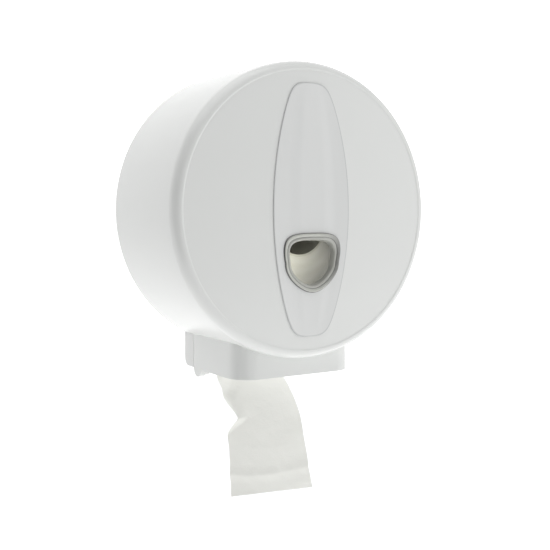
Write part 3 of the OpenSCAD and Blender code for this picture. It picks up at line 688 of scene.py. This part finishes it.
# The washer's section: a share of its radius, and height
clip_outline = [(1.0, 0.0), (1.0, clip_t), (0.66, clip_t), (0.42, clip_t), (0.42, 0.5 * clip_t),
                (0.66, 0.0)]
clip_rows = []
for share, out in clip_outline:
    row = []
    for k in range(clip_steps):
        a = 2 * math.pi * k / clip_steps
        in_slit = share < slit_share and k % tongue_steps == 0
        r = clip_r * (slit_share if in_slit else share)
        row.append((r * math.cos(a), r * math.sin(a), out))
    clip_rows.append(row)
clip_blank = row_mesh("clip_blank", clip_rows, closed_ring=True)
cover_t, clip_gap = 0.0026, 0.0002
spring_steel = plated("spring steel", (0.50, 0.51, 0.53), 0.3)
clip_back = cover_t + clip_t + clip_gap
clip_places = [(x, clip_back - dome_out(math.hypot(x, z) + clip_r), z) for x, z in peg_places]
fixed_at("panel_clip_set", clip_blank, clip_places, facing_front, 5, spring_steel, "panel_clips")

# ---- Window frame ----
# A glossy smoke-grey moulding in the panel's hole: a crowned border on the panel, a groove, an
# inner ring, and a wall down to the pane. Painted shade makes it darker on its right and less so
# towards its top and bottom, with fine streaks; painted shade lines darken its outer edge and
# groove, and its inner ring is a painted highlight.


def panel_out(x, z):
    """Distance of the panel's front from the wall."""
    rise = panel_rise(x, z, panel_half_w, panel_half_h)
    return dome_out(math.hypot(x, z)) + panel_edge + ridge_h * rise


# The border's section: millimetres inside the outline, and height over the panel in lips
window_lip, pane_front, panel_gap, frame_w = 0.0016, 0.1445, 0.00015, 0.0049
border = [(0, 0.0), (0, 0.5), (0.3, 0.9), (0.8, 1.15), (1.3, 1.3), (2.4, 1.2), (3.4, 0.9), (4.1, 0.5),
          (4.5, 0.3), (4.9, 0.45), (5.4, 0.6), (6.4, 0.5), (7.2, 0.1), (7.6, -0.4)]
outline_rows, groove_row = (0, 1, 2), 7
frame_rows = []
for inset, rise in border:
    ring = [drop_point(a, inset * 0.001) for a in ray_angles]
    frame_rows.append([(x, -(panel_out(x, z) + window_lip * rise), z) for x, z in ring])
# The two edges of the wall's foot on the pane, and the underside of the border
for inset, out in ((0.0086, pane_front), (frame_w, pane_front), (frame_w, None), (0.0004, None)):
    ring = [drop_point(a, inset) for a in ray_angles]
    frame_rows.append([(x, -(out or panel_out(x, z) + panel_gap), z) for x, z in ring])

light_smoke, dark_smoke = (0.52, 0.53, 0.485), (0.15, 0.15, 0.148)
middle_shade, side_shade, end_shade, streak_shade = 0.12, 0.75, 0.25, 0.3
smoke, tree, shader = principled("smoke frame", light_smoke, 0.08, Coat_Weight=1.0, Coat_Roughness=0.03)
# Painted shade: darker to the right and less towards the top and bottom, with fine random streaks.
right = place_along(tree, "X") / window_half_w
top = (place_along(tree, "Z") + window_drop) / window_half_h
streaks = object_noise(tree, 260.0, 1.0)
shade = middle_shade + side_shade * right - end_shade * abs(top) + streak_shade * (streaks - 0.5)
fed(tree, shader, "Base Color", blended(tree, shade.clamped(), light_smoke, dark_smoke))
smoked_frame = placed("smoked_frame", row_mesh("smoked_frame", frame_rows, closed_ring=True), smoke)
# The outer edge and the groove carry a painted shade line, and the inner ring a painted highlight.
edge_shadow_smoke, ring_highlight_smoke = (0.13, 0.13, 0.127), (0.45, 0.455, 0.42)
for label, colour in (("painted edge shadow", edge_shadow_smoke), ("painted ring highlight", ring_highlight_smoke)):
    band, tree, shader = principled(label, colour, 0.12, Coat_Weight=1.0, Coat_Roughness=0.05)
    fed(tree, shader, "Roughness", object_noise(tree, 12.0) * 0.05 + 0.1)
    smoked_frame.data.materials.append(band)
for polygon in smoked_frame.data.polygons:
    row = polygon.index // ray_count
    if row in outline_rows or row == groove_row:
        polygon.material_index = 1
    elif row > groove_row:
        polygon.material_index = 2
stands_for(smoked_frame, "window_frame")

# ---- Window pane ----
# A flat smoked pane behind the frame, through which the end of the roll shows. Painted shade in its
# colour darkens it to the right and towards its lower end.

pane_inset, pane_t, pane_gap, centre_share = 0.0052, 0.0016, 0.0001, 0.02
pane_ring = [drop_point(a, pane_inset) for a in ray_angles]
pane_rows = []
for share, back in ((centre_share, 0), (1, 0), (1, 1), (centre_share, 1)):
    y = pane_gap + pane_t * back - pane_front
    pane_rows.append([(share * x, y, share * (z + window_drop) - window_drop) for x, z in pane_ring])
clear_smoke, pane_shaded_smoke = (0.93, 0.93, 0.86), (0.36, 0.36, 0.345)
pane_middle_shade, pane_shade_w, pane_shade_h = 0.45, 0.045, 0.06
clear, tree, shader = principled("smoke pane", clear_smoke, 0.03, Transmission_Weight=1.0, IOR=1.15)
# Painted shade, deeper to the right and below the middle.
below_middle = (-window_drop - place_along(tree, "Z")).math("MAXIMUM", 0.0)
shade = (place_along(tree, "X") / pane_shade_w + below_middle / pane_shade_h + pane_middle_shade).clamped()
fed(tree, shader, "Base Color", blended(tree, shade, clear_smoke, pane_shaded_smoke))
stands_for(placed("smoked_pane", row_mesh("smoked_pane", pane_rows, ends=True), clear), "window_pane")

# ---- Tear bar ----
# A thin brushed stainless bar with a row of teeth, behind the collar's front wall. The sheet is
# pulled against its teeth and torn off.

brushed = plated("brushed steel", (0.60, 0.60, 0.60), 0.30, (0.05, 1, 1))
dressed("tear_bar", "toothed_bar", brushed)

# ---- Tear bar rivets ----
# Three small rivets with flat heads go through the bar and hold it on the inside of the collar's
# front wall.

dressed("tear_bar_rivets", "rivet_set", brushed, bevel=0.00015)

# ---- Lock barrel ----
# The chrome-plated housing of the cam lock. Its flange lies in a round seat on top of the drum,
# near the wall.

chrome = plated("chrome plate", (0.74, 0.75, 0.77), 0.16)
dressed("lock_barrel", "lock_housing", chrome, bevel=0.0004)

# ---- Lock nut ----
# A flat hexagon nut on the housing's thread. It clamps the housing in the cover's wall from
# inside.

dressed("lock_nut", "hexagon_nut", zinc, bevel=0.0004)

# ---- Lock plug ----
# The plug that turns in the housing by a quarter turn. Its keyway shows from above, and its square
# end carries the tongue.

dressed("lock_plug", "key_plug", chrome, bevel=0.00015)

# ---- Lock tongue ----
# A strip of zinc-plated steel on the plug's square end. Turned by a quarter turn, it grips behind
# the keeper.

dressed("lock_cam", "steel_tongue", zinc, bevel=0.0002)

# ---- Tongue screw ----
# One screw with a cross recess goes up into the plug's end, head down, and holds the tongue on
# the plug.

lock_out, tongue_z = 0.028, 0.131509
fixed_at("tongue_screw", screw_blank(0.0015, 0.006, 0.005, 0.002), [(0, -lock_out, tongue_z)],
         (math.pi, 0, 0), 4, zinc, "cam_screw")

# ---- Studio ----
# A plain pale floor that curves up behind the object, two large soft lights, two dark cards on the
# left, and a small light inside the cover that shows the roll through the window.

floor_z, floor_front, floor_back, floor_half_w, sweep_r, back_top = -0.75, -4.0, 2.5, 6.0, 1.2, 5.0
floor_line = [(floor_front, floor_z), (floor_back, floor_z)]
floor_line += [(floor_back + sweep_r * math.sin(a), floor_z + sweep_r * (1 - math.cos(a)))
               for a in [math.radians(k) for k in range(10, 91, 10)]]
floor_line.append((floor_back + sweep_r, back_top))
floor_rows = [[(x, y, z) for y, z in floor_line] for x in (-floor_half_w, floor_half_w)]
floor_mesh = row_mesh("studio_floor", floor_rows, closed_rows=False)
pale, _, _ = principled("pale floor", (0.9, 0.9, 0.9), 0.9,
                        Emission_Color=(1, 1, 1, 1), Emission_Strength=0.5)
floor = placed("studio_floor", floor_mesh, pale)
if floor_mesh.polygons[0].normal.z < 0:
    floor_mesh.flip_normals()


def facing(place, aim):
    """The turn that points a light or a card from its place at its aim."""
    return (Vector(aim) - Vector(place)).to_track_quat("-Z", "Y").to_euler()


def card(name, place, aim, size, shade):
    """A matt card that keeps light off one side and shows dark in glossy surfaces."""
    w, h = size[0] / 2, size[1] / 2
    mesh = bpy.data.meshes.new(name)
    mesh.from_pydata([(-w, -h, 0), (w, -h, 0), (w, h, 0), (-w, h, 0)], [], [(0, 1, 2, 3)])
    matt, _, _ = principled(name, (shade, shade, shade), 1.0)
    made = placed(name, mesh, matt)
    made.location = place
    made.rotation_euler = facing(place, aim)


def softbox(name, place, aim, size, power):
    """A rectangular area light of this size in metres and power in watts."""
    light = bpy.data.lights.new(name, "AREA")
    light.shape = "RECTANGLE"
    light.size, light.size_y = size
    light.energy = power
    made = bpy.data.objects.new(name, light)
    made.location = place
    made.rotation_euler = facing(place, aim)
    bpy.context.scene.collection.objects.link(made)


softbox("top_box", (-0.5, -0.2, 2.0), (0, -0.08, 0), (2.4, 2.0), 19)
softbox("right_box", (2.8, -1.8, 0.4), (0, -0.1, 0), (3.0, 2.6), 14)
card("front_card", (-1.9, -0.9, 0.0), (0, -0.1, 0), (3.0, 1.3), 0.03)
card("side_card", (-0.6, -0.4, 0.0), (0, -0.3, 0.0), (0.62, 0.6), 0.03)
softbox("through_cover", (0.0, -0.1385, -0.066), (0, 0, -0.066), (0.16, 0.07), 0.028)

world = bpy.data.worlds.new("studio")
bpy.context.scene.world = world
world.use_nodes = True
background = world.node_tree.nodes["Background"]
background.inputs["Color"].default_value = (1, 1, 1, 1)
background.inputs["Strength"].default_value = 0.56
bpy.context.scene.view_settings.view_transform = "Standard"

# The camera stands level with the drum's axis, to the left of the front.
camera_turn, camera_distance = math.radians(33.4), 1.0
picture_px, axis_px, focal_px, sensor_w = 550, (310.1, 209.5), 964, 36
camera_data = bpy.data.cameras.new("camera")
camera_data.sensor_width = sensor_w
camera_data.lens = sensor_w * focal_px / picture_px
camera_data.shift_x = 0.5 - axis_px[0] / picture_px
camera_data.shift_y = axis_px[1] / picture_px - 0.5
camera = bpy.data.objects.new("camera", camera_data)
camera.location = (-camera_distance * math.sin(camera_turn),
                   -rim_out - camera_distance * math.cos(camera_turn), 0)
camera.rotation_euler = (math.radians(90), 0, -camera_turn)
bpy.context.scene.collection.objects.link(camera)
bpy.context.scene.camera = camera
